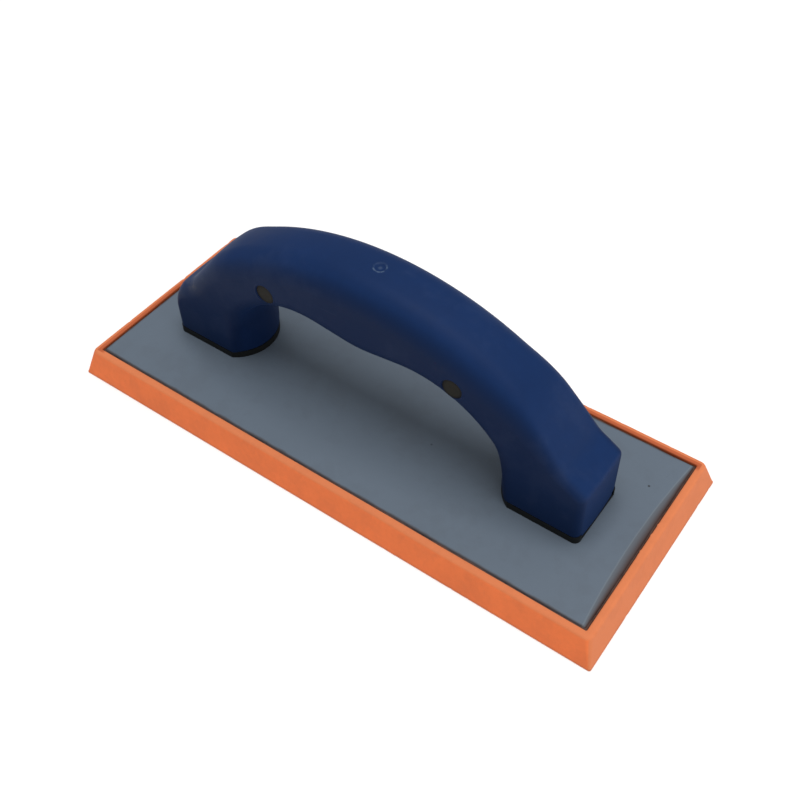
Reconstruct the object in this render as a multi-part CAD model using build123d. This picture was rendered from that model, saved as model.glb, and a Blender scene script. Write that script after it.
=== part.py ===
from build123d import *
import math
import os

# Rubber grout float: a rubber pad with a raised lip, a rigid backing plate bonded into it, and a
# D-shaped handle whose two-piece core is covered by a soft grip and screwed to the plate.
# Millimetres. Origin at the centre of the pad's working face, +X along the float, +Z up.

# ---- rubber pad ----
pad_length = 240.0           # working face
pad_width = 96.0
pad_height = 12.25           # to the top of the lip
pad_side_run = 3.4           # how far each side leans in from the working face to the lip
lip_width = 2.8
lip_round = 1.2              # rounding along the lip's outer edge
pad_corner = 1.8             # upright corners, at the lip

# ---- bond between pad and plate ----
bond_thickness = 0.4
bond_edge = 0.7              # gap between the plate's edge and the lip, filled by the bond
bond_drop = 1.3              # from the top of the lip down to the bond's visible edge

# ---- backing plate ----
plate_thickness = 5.0
plate_drop = 0.3             # plate face below the top of the lip
plate_edge_round = 0.9
plate_corner = 1.5

# ---- handle: outer form ----
handle_height = 71.7         # crown above the plate
handle_width = 29.0
foot_margin = 18.2           # plate left bare beyond either end face
haunch_setback = 26.9        # from the end face to where the crown turns down
crown_slope = 28.0           # degrees, where the crown turns down
haunch_radius = 45.0
flare_setback = 9.2          # from the end face to where the foot flares out of the leg
flare_slope = 32.0           # degrees, top of the foot
flare_radius = 14.0
end_height = 24.0            # end face, above the plate
shoulder_round = 11.0
end_round = 2.5
edge_round = 3.5             # edges round the finger opening

# ---- handle: finger opening and feet ----
arch_thickness = 31.7        # crown down to the tip of the palm swell, before its rounding
leg_length = 28.9            # from the end face to the leg's inner face
foot_length = 37.3           # from the end face to the foot's round inner end
swell_slope = 7.5            # degrees, from the palm swell up to each finger hollow
swell_radius = 45.0
hollow_run = 12.7            # straight stretch between the swell's and the hollow's curves

# ---- handle: walls ----
grip_wall = 3.0
core_wall = 2.6
flange_height = 3.0          # bare core below the grip along the sides of a foot
flange_height_end = 1.0      # the same across the end face, where the grip comes lower
apron_inset = 2.8            # from the handle's sides to where the grip comes lower
rib_thickness = 1.6
rib_count = 7

# ---- windows where the core shows through the grip ----
window_setback = 53.6        # from the end face
window_diameter = 8.0
window_lip = 4.4             # grip left between the window and the finger opening
window_gap = 0.05            # between the grip and the core's window boss
window_recess = 0.4          # window boss below the surface of the grip

# ---- gate mark on the crown ----
gate_x = 2.0
gate_diameter = 5.0
gate_depth = 0.3

# ---- pegs that locate the two core halves ----
peg_diameter = 3.2
peg_length = 4.5
peg_post_wall = 1.9
peg_clearance = 0.1
peg_foot_setback = 12.9
peg_foot_rise = 24.0
peg_crown_x = 11.0

# ---- screws, washers and their bosses ----
screw_setback = 17.9         # from the end face
screw_y = 6.3
screw_diameter = 4.2
screw_thread_depth = 0.55
screw_pitch = 1.4
screw_length = 16.0          # under the head
screw_tip = 4.0
screw_head_diameter = 8.0
screw_head_height = 2.2
screw_head_round = 1.2
screw_recess_width = 1.0
screw_recess_span = 4.4
screw_recess_depth = 1.3
screw_head_sunk = 0.2        # head below the plate's underside
screw_clearance = 0.1        # radial, in the boss
screw_tip_room = 1.0
boss_wall = 2.0
boss_cap = 3.5               # boss left solid above the bore
plate_hole_gap = 0.3         # radial, round the screw
washer_diameter = 9.2
washer_thickness = 0.8
washer_bore_gap = 0.15       # radial, round the screw
counterbore_gap = 0.3        # radial, round the washer

# ---- spigots that locate the core on the plate ----
spigot_setback = 7.4         # from the end face
spigot_y = 6.3
spigot_diameter = 4.0
spigot_length = 1.6
spigot_clearance = 0.15

# ---- allowances used while cutting and picking edges ----
overcut = 1.0                # how far a cutter runs on past the face that it cuts
near = 0.01                  # distance within which an edge counts as lying on a face
radius_slack = 0.05          # keeps neighbouring arcs from sharing a vertex


def slope(degrees):
    return math.tan(math.radians(degrees))


def secant(degrees):
    return 1 / math.cos(math.radians(degrees))


# ---- places worked out from the sizes above ----
plate_top = pad_height - plate_drop
plate_bottom = plate_top - plate_thickness
recess_floor = plate_bottom - bond_thickness
lip_length = pad_length - 2 * pad_side_run
lip_span = pad_width - 2 * pad_side_run
recess_length = lip_length - 2 * lip_width
recess_width = lip_span - 2 * lip_width
plate_length = recess_length - 2 * bond_edge
plate_width = recess_width - 2 * bond_edge

foot_end = plate_length / 2 - foot_margin
haunch_x = foot_end - haunch_setback
flare_x = foot_end - flare_setback
leg_inner = foot_end - leg_length
foot_inner = foot_end - foot_length
crown_z = plate_top + handle_height
half_width = handle_width / 2
cavity_inset = grip_wall + core_wall
below = 3 * cavity_inset     # how far the handle's outline runs on below the plate before it is cut

# The crown's arc runs straight into the haunch's, which turns the surface down to the flare.
crown_end_z = plate_top + end_height + flare_setback * slope(flare_slope)
swell_z = crown_z - arch_thickness
knee_z = swell_z + leg_inner * slope(swell_slope)
knee_half_turn = (90 + swell_slope) / 2
hollow_reach = leg_inner * secant(swell_slope) - swell_radius * slope(swell_slope) - hollow_run
hollow_radius = hollow_reach / slope(knee_half_turn)
hollow_x = leg_inner - hollow_radius
hollow_z = knee_z - hollow_radius * slope(knee_half_turn)

window_x = foot_end - window_setback
window_edge = hollow_z + math.sqrt(hollow_radius**2 - (window_x - hollow_x)**2)
window_z = window_edge + window_lip + window_diameter / 2
peg_foot_x = foot_end - peg_foot_setback
peg_crown_z = (crown_z + swell_z) / 2
rib_pitch = 2 * leg_inner / (rib_count - 1)
screw_x = foot_end - screw_setback
spigot_x = foot_end - spigot_setback
washer_z = plate_bottom + screw_head_sunk + screw_head_height
bearing_z = washer_z + washer_thickness
screw_tip_z = washer_z + screw_length
screw_bore_top = screw_tip_z + screw_tip_room
SIDES = {"left": 1, "right": -1}
ENDS = {"toe": -1, "heel": 1}


def cylinder_z(diameter, low, high, x=0.0, y=0.0):
    return Pos(x, y, (low + high) / 2) * Cylinder(diameter / 2, high - low)


def cylinder_y(diameter, low, high, x, z):
    return Pos(x, (low + high) / 2, z) * Rot(90, 0, 0) * Cylinder(diameter / 2, abs(high - low))


def rounded_slab(length, width, low, high, corner):
    return Pos(0, 0, low) * extrude(RectangleRounded(length, width, corner), high - low)


def mirrored(points):
    return points + [(-x, z) for x, z in reversed(points) if x != 0]


# ---- rubber pad, bond and plate ----
def make_pad():
    working_face = Rectangle(pad_length, pad_width)
    lip_outline = Pos(0, 0, pad_height) * Rectangle(lip_length, lip_span)
    block = loft([working_face, lip_outline])
    uprights = [e for e in block.edges() if abs(e.center().Z - pad_height / 2) < near]
    block = fillet(uprights, pad_corner)
    block = fillet(block.edges().group_by(Axis.Z)[-1], lip_round)
    recess_top = pad_height + overcut
    return block - rounded_slab(recess_length, recess_width, recess_floor, recess_top, plate_corner)


def make_bond():
    top = pad_height - bond_drop
    tray = rounded_slab(recess_length, recess_width, recess_floor, top, plate_corner)
    return tray - rounded_slab(plate_length, plate_width, plate_bottom, plate_top, plate_corner - bond_edge)


def make_plate():
    plate = rounded_slab(plate_length, plate_width, plate_bottom, plate_top, plate_corner - bond_edge)
    plate = fillet(plate.edges().group_by(Axis.Z)[-1], plate_edge_round)
    for x, y in fastener_places().values():
        hole = screw_diameter + 2 * plate_hole_gap
        counterbore = washer_diameter + 2 * counterbore_gap
        plate -= cylinder_z(hole, plate_bottom - overcut, plate_top + overcut, x, y)
        plate -= cylinder_z(counterbore, plate_bottom - overcut, bearing_z, x, y)
    pocket = spigot_diameter + 2 * spigot_clearance
    pocket_floor = plate_top - spigot_length - spigot_clearance
    for x, y in spigot_places():
        plate -= cylinder_z(pocket, pocket_floor, plate_top + overcut, x, y)
    return plate


# ---- outlines of the handle, seen from the side ----
def outer_outline():
    """Crown, legs, flared feet and end faces, closed below the plate."""
    haunch_z, crown_radius = solve_crown()
    vertex_z = haunch_z + haunch_x * slope(crown_slope)
    right = [(foot_end, plate_top - below), (foot_end, plate_top + end_height)]
    right += [(flare_x, crown_end_z), (haunch_x, haunch_z)]
    points = mirrored(right + [(0, vertex_z)])
    rounds = [0, flare_radius, haunch_radius, crown_radius, haunch_radius, flare_radius, 0]
    return face_of(points, rounds)


def solve_crown():
    """Height of the haunch corner, and the crown radius that meets the haunch's arc."""
    haunch_z = crown_z
    for _ in range(40):
        leg_angle = math.degrees(math.atan2(haunch_z - crown_end_z, flare_x - haunch_x))
        haunch_tangent = haunch_radius * slope((leg_angle - crown_slope) / 2)
        crown_radius = (haunch_x * secant(crown_slope) - abs(haunch_tangent)) / slope(crown_slope)
        haunch_z = crown_z + crown_radius * (secant(crown_slope) - 1) - haunch_x * slope(crown_slope)
    return haunch_z, crown_radius - radius_slack


def opening_outline():
    """Finger opening: legs, two finger hollows and the palm swell, open towards the plate."""
    points = mirrored([(leg_inner, plate_top - 2 * below), (leg_inner, knee_z), (0, swell_z)])
    return face_of(points, [hollow_radius, swell_radius, hollow_radius])


def face_of(points, rounds):
    chain = FilletPolyline(*points, radius=rounds)
    return make_face(chain + Line(points[-1], points[0]))


def foot_plan(end, inset):
    """D-shaped foot: straight sides and end, round towards the middle of the float."""
    half = half_width - inset
    bulge = leg_inner - foot_inner
    arc_radius = (half_width**2 + bulge**2) / (2 * bulge) - inset
    arc_centre = foot_inner + inset + arc_radius
    corner_x = arc_centre - math.sqrt(arc_radius**2 - half**2)
    outer = foot_end - inset
    arc = ThreePointArc((corner_x, -half), (foot_inner + inset, 0), (corner_x, half))
    sides = Polyline((corner_x, half), (outer, half), (outer, -half), (corner_x, -half))
    plan = make_face(arc + sides)
    return plan if end > 0 else plan.rotate(Axis.Z, 180)


def handle_form(inset):
    """The handle's outer form, moved inwards by inset and cut off at the plate."""
    outer = offset(outer_outline(), -inset, kind=Kind.INTERSECTION) if inset else outer_outline()
    opening = offset(opening_outline(), inset, kind=Kind.INTERSECTION) if inset else opening_outline()
    half = half_width - inset
    block = extrude(Plane.XZ * outer, half, both=True)
    top_edges = [e for e in block.edges() if is_top_edge(e, half, inset)]
    block = fillet(top_edges, shoulder_round - inset)
    if end_round > inset:
        ends = [e for e in block.edges() if is_end_edge(e, inset)]
        block = fillet(ends, end_round - inset)
    arch = block - extrude(Plane.XZ * opening, half + overcut, both=True)
    if edge_round > inset:
        rims = [e for e in arch.edges() if is_rim(e, half, opening.bounding_box().max.Y)]
        arch = fillet(rims, edge_round - inset)
    form = arch
    for end in ENDS.values():
        column = Pos(0, 0, plate_top - below) * extrude(foot_plan(end, inset), below + handle_height / 2)
        form += column & block
    return split(form, Plane.XY.offset(plate_top), keep=Keep.TOP)


def is_top_edge(edge, half, inset):
    """Edges along the crown, legs and flares on either side, not those of the end faces."""
    centre = edge.center()
    beside = abs(abs(centre.Y) - half) < near
    return beside and centre.Z > plate_top and abs(centre.X) < foot_end - inset - near


def is_end_edge(edge, inset):
    """Edges round the end faces, apart from their cut-off lower ends."""
    centre = edge.center()
    return abs(abs(centre.X) - (foot_end - inset)) < near and centre.Z > plate_top - below / 2


def is_rim(edge, half, opening_top):
    """Edges between the finger opening and the flat sides."""
    centre = edge.center()
    beside = abs(abs(centre.Y) - half) < near
    return beside and abs(centre.X) < leg_inner + near and centre.Z < opening_top + near


def fastener_places():
    """Name and centre of each screw: one in either half of the core, at either foot."""
    places = {}
    for end, x in ENDS.items():
        for side, y in SIDES.items():
            places[f"{end}_{side}"] = (x * screw_x, y * screw_y)
    return places


def spigot_places():
    return [(end * spigot_x, side * spigot_y) for end in ENDS.values() for side in SIDES.values()]


# ---- handle core ----
def flange_zone():
    """Slice above the plate that the core fills out to the handle's surface, lower across the end faces."""
    slice_size = 2 * (foot_end + overcut), handle_width + 2 * overcut, flange_height
    zone = Pos(0, 0, plate_top + flange_height / 2) * Box(*slice_size)
    apron = Box(grip_wall + overcut, handle_width - 2 * apron_inset, flange_height)
    apron_x = foot_end - (grip_wall - overcut) / 2
    for end in ENDS.values():
        zone -= Pos(end * apron_x, 0, plate_top + flange_height_end + flange_height / 2) * apron
    return zone


def core_stiffening():
    """Cross ribs, screw bosses and the posts that carry the pegs, still unbounded by the walls."""
    parts = []
    for i in range(rib_count):
        x = (i - (rib_count - 1) / 2) * rib_pitch
        parts.append(Pos(x, 0, crown_z / 2) * Box(rib_thickness, handle_width, crown_z))
    for x, z in peg_places():
        parts.append(cylinder_y(peg_diameter + 2 * peg_post_wall, -half_width, half_width, x, z))
    boss_diameter = screw_diameter + 2 * (screw_clearance + boss_wall)
    for x, y in fastener_places().values():
        parts.append(cylinder_z(boss_diameter, plate_top, screw_bore_top + boss_cap, x, y))
    return Part() + parts


def peg_places():
    right = [(window_x, window_z), (peg_crown_x, peg_crown_z), (peg_foot_x, plate_top + peg_foot_rise)]
    return right + [(-x, z) for x, z in right]


def make_core(form, blank):
    cavity = split(handle_form(cavity_inset), Plane.XY.offset(plate_top + flange_height), keep=Keep.TOP)
    core = blank - cavity + (core_stiffening() & cavity) + (form & flange_zone())
    boss_root = half_width - cavity_inset
    boss_face = half_width - window_recess
    for x in (-window_x, window_x):
        for side in SIDES.values():
            ends = side * boss_root, side * boss_face
            core += cylinder_y(window_diameter - 2 * window_gap, *ends, x, window_z)
    for x, y in fastener_places().values():
        bore = screw_diameter + 2 * screw_clearance
        core -= cylinder_z(bore, plate_top - overcut, screw_bore_top, x, y)
    for x, y in spigot_places():
        core += cylinder_z(spigot_diameter, plate_top - spigot_length, plate_top + flange_height_end, x, y)
    return core


def make_core_halves(form, blank):
    """Left half with sockets, right half with the pegs that enter them."""
    core = make_core(form, blank)
    left = split(core, Plane.XZ, keep=Keep.BOTTOM)
    right = split(core, Plane.XZ, keep=Keep.TOP)
    for x, z in peg_places():
        socket = peg_diameter + 2 * peg_clearance
        left -= cylinder_y(socket, -overcut, peg_length + peg_clearance, x, z)
        right += cylinder_y(peg_diameter, -overcut, peg_length, x, z)
    return left, right


# ---- soft grip ----
def make_grip(form, blank):
    grip = form - blank - flange_zone()
    reach = half_width + overcut
    for x in (-window_x, window_x):
        grip -= cylinder_y(window_diameter, -reach, reach, x, window_z)
    return grip - cylinder_z(gate_diameter, crown_z - gate_depth, crown_z + overcut, gate_x, 0)


# ---- fasteners ----
def screw_profile():
    """Half section of the screw, head down, threaded up to the point."""
    head = screw_head_diameter / 2
    crest = screw_diameter / 2
    root = crest - screw_thread_depth
    bottom = washer_z - screw_head_height
    points = [(0, bottom), (head - screw_head_round, bottom), (head, bottom + screw_head_round)]
    points += [(head, washer_z), (root, washer_z)]
    turns = int((screw_length - screw_tip) / screw_pitch)
    for i in range(turns):
        z = washer_z + i * screw_pitch
        points.append((root, z + screw_pitch / 4))
        points.append((crest, z + screw_pitch / 2))
        points.append((root, z + screw_pitch * 3 / 4))
    return points + [(root, screw_tip_z - screw_tip), (0, screw_tip_z)]


def make_screw(x, y):
    half_section = make_face(Polyline(*screw_profile(), close=True))
    screw = revolve(Plane.XZ * half_section, Axis.Z)
    recess_z = washer_z - screw_head_height + screw_recess_depth / 2
    for turn in (0, 90):
        slot = Box(screw_recess_span, screw_recess_width, screw_recess_depth)
        screw -= Pos(0, 0, recess_z) * Rot(0, 0, turn) * slot
    return Pos(x, y, 0) * screw


def make_washer(x, y):
    washer = cylinder_z(washer_diameter, washer_z, bearing_z, x, y)
    bore = screw_diameter + 2 * washer_bore_gap
    return washer - cylinder_z(bore, washer_z - overcut, bearing_z + overcut, x, y)


def make_all():
    form = handle_form(0)
    blank = handle_form(grip_wall)
    left, right = make_core_halves(form, blank)
    nodes = {
        "rubber_pad": make_pad(),
        "adhesive_layer": make_bond(),
        "backing_plate": make_plate(),
        "core_half_left": left,
        "core_half_right": right,
        "grip_overmould": make_grip(form, blank),
    }
    for place, (x, y) in fastener_places().items():
        nodes[f"screw_{place}"] = make_screw(x, y)
        nodes[f"washer_{place}"] = make_washer(x, y)
    return nodes


if __name__ == "__main__":
    os.makedirs("parts", exist_ok=True)
    for name, shape in make_all().items():
        export_step(shape, f"parts/{name}.step")
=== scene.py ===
import math

import bpy
import numpy as np
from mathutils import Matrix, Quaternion, Vector, noise


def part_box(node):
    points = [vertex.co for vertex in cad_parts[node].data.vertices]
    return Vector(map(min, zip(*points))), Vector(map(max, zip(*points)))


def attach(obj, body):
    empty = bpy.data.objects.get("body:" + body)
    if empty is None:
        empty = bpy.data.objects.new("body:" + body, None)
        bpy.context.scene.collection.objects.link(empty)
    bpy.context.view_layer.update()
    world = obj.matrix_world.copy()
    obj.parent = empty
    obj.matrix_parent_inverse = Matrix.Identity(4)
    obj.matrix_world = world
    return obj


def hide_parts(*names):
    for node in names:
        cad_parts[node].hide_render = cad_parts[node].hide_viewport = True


# A rubber grout float. The pad, the bond and the soft grip are shaped here, round the frame's solids.
# The plate, the core halves, the screws and the washers keep their solids and get their finish here.
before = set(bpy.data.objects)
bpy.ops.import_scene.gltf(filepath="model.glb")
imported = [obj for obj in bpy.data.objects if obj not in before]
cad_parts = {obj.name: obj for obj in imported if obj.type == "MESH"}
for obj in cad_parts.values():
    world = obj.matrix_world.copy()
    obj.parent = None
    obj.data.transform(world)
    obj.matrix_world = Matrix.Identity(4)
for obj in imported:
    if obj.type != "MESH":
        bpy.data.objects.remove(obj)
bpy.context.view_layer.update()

# Shapes are worked out in millimetres and turned into metres when a mesh is made.
MM = 0.001


def box_mm(node):
    low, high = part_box(node)
    return np.array(low) / MM, np.array(high) / MM


_, PAD_HIGH = box_mm("rubber_pad")
PLATE_LOW, PLATE_HIGH = box_mm("backing_plate")
BOND_LOW, BOND_HIGH = box_mm("adhesive_layer")
GRIP_LOW, GRIP_HIGH = box_mm("grip_overmould")
PLATE_TOP = PLATE_HIGH[2]


# ================================================================ meshes
def new_piece(name, points, faces, material, stands_for):
    """A smooth mesh from points in millimetres, riding on the float's one body."""
    mesh = bpy.data.meshes.new(name)
    mesh.from_pydata((np.asarray(points) * MM).tolist(), [], [list(f) for f in faces])
    mesh.polygons.foreach_set("use_smooth", [True] * len(mesh.polygons))
    mesh.materials.append(material)
    piece = bpy.data.objects.new(name, mesh)
    bpy.context.scene.collection.objects.link(piece)
    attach(piece, "root")
    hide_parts(stands_for)
    return piece


def soft_noise(points, wavelength, seed):
    """Smooth noise from -1 to 1 at points in millimetres."""
    shift = Vector((seed * 13.1, seed * 7.7, seed * 3.3))
    return np.array([noise.noise(Vector(p) / wavelength + shift) for p in points])


def mix(a, b, share):
    return a + (b - a) * share


def smooth_step(low, high, value):
    t = np.clip((value - low) / (high - low), 0, 1)
    return t * t * (3 - 2 * t)


# ---------------------------------------------------------------- solids as distance fields
def round_off(a, b, radius):
    """What lies inside both a and b, with the edge between them rounded."""
    outside = np.hypot(np.maximum(a + radius, 0), np.maximum(b + radius, 0))
    return np.minimum(-radius, np.maximum(a, b)) + outside


def fill_in(a, b, radius):
    """What lies inside a or b, with the corner between them filled to a radius."""
    outside = np.hypot(np.maximum(radius - a, 0), np.maximum(radius - b, 0))
    return np.maximum(radius, np.minimum(a, b)) - outside


def unit(vector):
    return vector / np.linalg.norm(vector)


def rounded_path(corners):
    """Lines and arcs through corners (u, v, radius). The first and last only say where it starts and ends."""
    places = [np.array(c[:2], float) for c in corners]
    spans, here = [], places[0]
    for before, corner, after, (_, _, radius) in zip(places, places[1:], places[2:], corners[1:]):
        back, on = unit(before - corner), unit(after - corner)
        half_turn = math.acos(np.clip(-(back @ on), -1, 1)) / 2
        tangent = radius * math.tan(half_turn)
        start, end = corner + back * tangent, corner + on * tangent
        spans.append(("line", here, start))
        centre = corner + unit(back + on) * radius / math.cos(half_turn)
        spans.append(("arc", centre, start - centre, end - centre))
        here = end
    spans.append(("line", here, places[-1]))
    return spans


def left_of_path(spans, u, v):
    """Signed distance from a path, positive to the left of its direction."""
    nearest = np.inf
    for span in spans:
        distance = left_of_line(*span[1:], u, v) if span[0] == "line" else left_of_arc(*span[1:], u, v)
        nearest = np.where(np.abs(distance) < np.abs(nearest), distance, nearest)
    return nearest


def left_of_line(start, end, u, v):
    along = end - start
    length = np.hypot(*along)
    if length < 1e-6:
        return np.inf
    du, dv = u - start[0], v - start[1]
    share = np.clip((du * along[0] + dv * along[1]) / length**2, 0, 1)
    reach = np.hypot(du - share * along[0], dv - share * along[1])
    return np.where(along[0] * dv - along[1] * du >= 0, reach, -reach)


def left_of_arc(centre, first, last, u, v):
    turn = np.sign(first[0] * last[1] - first[1] * last[0])
    du, dv = u - centre[0], v - centre[1]
    past_first = (first[0] * dv - first[1] * du) * turn >= 0
    before_last = (du * last[1] - dv * last[0]) * turn >= 0
    distance = turn * (np.hypot(*first) - np.hypot(du, dv))
    return np.where(past_first & before_last, distance, np.inf)


# ---------------------------------------------------------------- meshing a distance field
def graded_axis(low, high, step, fine_step, fine_zones):
    """Grid positions from low to high, closer together inside the fine zones."""
    places = [low]
    while places[-1] < high:
        here = places[-1]
        fine = any(a - step < here < b for a, b in fine_zones)
        places.append(here + (fine_step if fine else step))
    return np.array(places)


def mesh_field(field, axes, rounds=4):
    """Quads over the surface where field is zero, each corner moved onto it. One corner per grid cell."""
    x, y, z = axes
    values = field(x[:, None, None], y[None, :, None], z[None, None, :])
    inside = values < 0
    cells = tuple(len(a) - 1 for a in axes)
    total, count = np.zeros((*cells, 3)), np.zeros(cells)
    for axis in range(3):
        crossing, where = edge_crossings(values, inside, axes, axis)
        others = [a for a in range(3) if a != axis]
        for shift_a in (0, 1):
            for shift_b in (0, 1):
                pick = [slice(None)] * 3
                pick[others[0]] = slice(shift_a, shift_a + cells[others[0]])
                pick[others[1]] = slice(shift_b, shift_b + cells[others[1]])
                count += crossing[tuple(pick)]
                total += np.where(crossing[tuple(pick)][..., None], where[tuple(pick)], 0)
    used = count > 0
    number = np.full(cells, -1)
    number[used] = np.arange(used.sum())
    points = total[used] / count[used][:, None]
    faces = np.concatenate([quads_across(inside, number, axis) for axis in range(3)])
    for _ in range(rounds):
        value, slope = field_slope(field, points)
        points = points - np.clip(value / (slope**2).sum(1), -1, 1)[:, None] * slope
    return points, faces


def edge_crossings(values, inside, axes, axis):
    """For each grid edge along an axis: whether the surface crosses it, and where."""
    low = [slice(None)] * 3
    high = [slice(None)] * 3
    low[axis], high[axis] = slice(None, -1), slice(1, None)
    low, high = tuple(low), tuple(high)
    crossing = inside[low] != inside[high]
    span = np.where(crossing, values[low] - values[high], 1)
    share = np.where(crossing, values[low] / span, 0)
    grid = np.meshgrid(*axes, indexing="ij")
    return crossing, np.stack([g[low] + (g[high] - g[low]) * share for g in grid], -1)


def quads_across(inside, number, axis):
    """A quad for each crossed grid edge along an axis, joining the four cells round it."""
    a, b = [n for n in range(3) if n != axis]
    inner = [slice(1, -1)] * 3
    low, high = list(inner), list(inner)
    low[axis], high[axis] = slice(None, -1), slice(1, None)
    leaving = inside[tuple(low)] & ~inside[tuple(high)]
    entering = ~inside[tuple(low)] & inside[tuple(high)]
    found = []
    for crossed, flip in ((leaving, axis == 1), (entering, axis != 1)):
        at = np.argwhere(crossed)
        at[:, [a, b]] += 1
        around = []
        for step_a, step_b in ((-1, -1), (0, -1), (0, 0), (-1, 0)):
            cell = at.copy()
            cell[:, a] += step_a
            cell[:, b] += step_b
            around.append(number[tuple(cell.T)])
        quads = np.stack(around, 1)
        found.append(quads[:, ::-1] if flip else quads)
    return np.concatenate(found)


def field_slope(field, points, reach=0.02):
    """The field and its slope at points."""
    x, y, z = points.T
    slope = [
        field(x + reach, y, z) - field(x - reach, y, z),
        field(x, y + reach, z) - field(x, y - reach, z),
        field(x, y, z + reach) - field(x, y, z - reach),
    ]
    return field(x, y, z), np.stack(slope, 1) / (2 * reach)


# ---------------------------------------------------------------- rounded rectangles, ring upon ring
RING_STEP = 0.6
CORNER_STEPS = 10
CORNERS = ((1, -1), (1, 1), (-1, 1), (-1, -1))


def ring_stations(half_x, half_y):
    """Round a rectangle: the corner a point starts from, the one it runs to, its normal and its share."""
    stations = []
    for i, here in enumerate(CORNERS):
        there = CORNERS[(i + 1) % 4]
        for k in range(CORNER_STEPS + 1):
            angle = (i - 1 + k / CORNER_STEPS) * math.pi / 2
            stations.append((*here, *here, math.cos(angle), math.sin(angle), 0))
        steps = int(2 * (half_x if i % 2 else half_y) / RING_STEP)
        normal = math.cos(i * math.pi / 2), math.sin(i * math.pi / 2)
        stations += [(*here, *there, *normal, k / steps) for k in range(1, steps)]
    return np.array(stations)


def ring(stations, half, corner, height):
    """One ring of points: half is the half length and half width, corner the corner radius."""
    here, there, normal, share = stations[:, :2], stations[:, 2:4], stations[:, 4:6], stations[:, 6:]
    start = here * (half - corner) + normal * corner
    end = there * (half - corner) + normal * corner
    plan = start + (end - start) * share
    return np.column_stack([plan, np.full(len(plan), height)])


def ring_faces(levels, around):
    """Quads between neighbouring rings, and a face across the first and the last."""
    k = np.arange(around)
    on = (k + 1) % around
    walls = [np.stack([r * around + k, r * around + on, (r + 1) * around + on, (r + 1) * around + k], 1)
             for r in range(levels - 1)]
    return [tuple(q) for q in np.concatenate(walls)] + [
        tuple(k[::-1]), tuple((levels - 1) * around + k)]


def arc_steps(centre, radius, first, last, steps):
    """Points (inset, height) along an arc, from one angle in degrees to another."""
    angles = np.radians(np.linspace(first, last, steps))
    return [(centre[0] + radius * math.cos(a), centre[1] + radius * math.sin(a)) for a in angles]


# ================================================================ rubber pad
LIP_WIDTH = 2.8
SIDE_RUN = PAD_HIGH[0] - BOND_HIGH[0] - LIP_WIDTH    # how far the sides lean in, foot to lip
RECESS_FLOOR = BOND_LOW[2]
LIP_ROUND = 1.3
LIP_INNER_ROUND = 0.45
LIP_CROWN = 0.02             # rise at the middle of the lip's flat
FOOT_ROUND = 0.35
FOOT_CORNER = 0.8            # upright corners, at the working face
LIP_CORNER = 2.6             # the same at the lip
RECESS_CORNER = 0.6
RECESS_CORNER_FROM = SIDE_RUN + 0.7 * LIP_WIDTH      # inset past which the lip turns on the recess's corners
FACE_RINGS = (40, 8, 2)      # insets of the rings under the working face
FLOOR_RINGS = (0.1, 6)       # the same on the recess floor, counted from the lip's inner face
WALL_LEVELS = 14

WALL_WAVE = 0.14             # how far the sides bow in and out
WALL_WAVELENGTH = 34
LIP_WAVE = 0.1               # how far the lip rises and falls along its length
LIP_WAVELENGTH = 26
LIP_SINK = 0.6               # how far the waving lip is lowered, in heights of its wave
LIP_RIPPLE = 0.04
LIP_RIPPLE_LENGTH = 5

NICKS = 46
NICK_SIZE = (0.5, 1.5)
NICK_DEPTH = (0.1, 0.3)      # in sizes of the nick
FOOT_NICK_SHARE = 0.4        # nicks in the foot edge are shallower than in the lip
CRUMBS = 4
CRUMB_SIZE = (0.7, 1.0)
CRUMB_PUSH = np.array([-0.22, 0, 0.2])
HEEL_SHARE = 0.142           # share of the way round the pad that its heel side takes


def pad_outline():
    """The pad's section from under the working face to the recess floor: inset from the foot, height."""
    top = PAD_HIGH[2]
    lean = math.atan2(SIDE_RUN, top)
    wall_angle = 180 - math.degrees(lean)
    outline = [(inset, 0) for inset in FACE_RINGS]
    outline += arc_steps((FOOT_ROUND, FOOT_ROUND), FOOT_ROUND, 270, wall_angle, steps=5)
    wall_foot = outline[-1][1]
    wall_top = top - LIP_ROUND * (1 - math.sin(lean))
    for k in range(1, WALL_LEVELS):
        height = mix(wall_foot, wall_top, k / WALL_LEVELS)
        outline.append((height * SIDE_RUN / top, height))
    lip_centre = wall_top * SIDE_RUN / top + LIP_ROUND * math.cos(lean), top - LIP_ROUND
    outline += arc_steps(lip_centre, LIP_ROUND, wall_angle, 90, steps=7)
    inner_x = SIDE_RUN + LIP_WIDTH
    inner_centre = inner_x - LIP_INNER_ROUND, top - LIP_INNER_ROUND
    outline.append((mix(lip_centre[0], inner_centre[0], 0.5), top + LIP_CROWN))
    outline += arc_steps(inner_centre, LIP_INNER_ROUND, 90, 0, steps=4)
    for share in (0.25, 0.5, 0.75, 0.97):
        outline.append((inner_x, mix(inner_centre[1], RECESS_FLOOR, share)))
    return outline + [(inner_x + inset, RECESS_FLOOR) for inset in FLOOR_RINGS]


def corner_at(inset, height):
    if inset > RECESS_CORNER_FROM:
        return RECESS_CORNER
    return mix(FOOT_CORNER, LIP_CORNER, min(height / PAD_HIGH[2], 1))


def make_pad(material):
    outline = pad_outline()
    half = PAD_HIGH[:2]
    stations = ring_stations(*half)
    rings = [ring(stations, half - inset, corner_at(inset, height), height) for inset, height in outline]
    points = np.concatenate(rings)
    insets = np.repeat([inset for inset, _ in outline], len(stations))
    outward = np.tile(np.column_stack([stations[:, 4:6], np.zeros(len(stations))]), (len(rings), 1))
    wave_pad(points, insets, outward)
    chip_edges(points, outward)
    piece = new_piece("rubber_pad_body", points, ring_faces(len(rings), len(stations)), material,
                      "rubber_pad")


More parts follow.
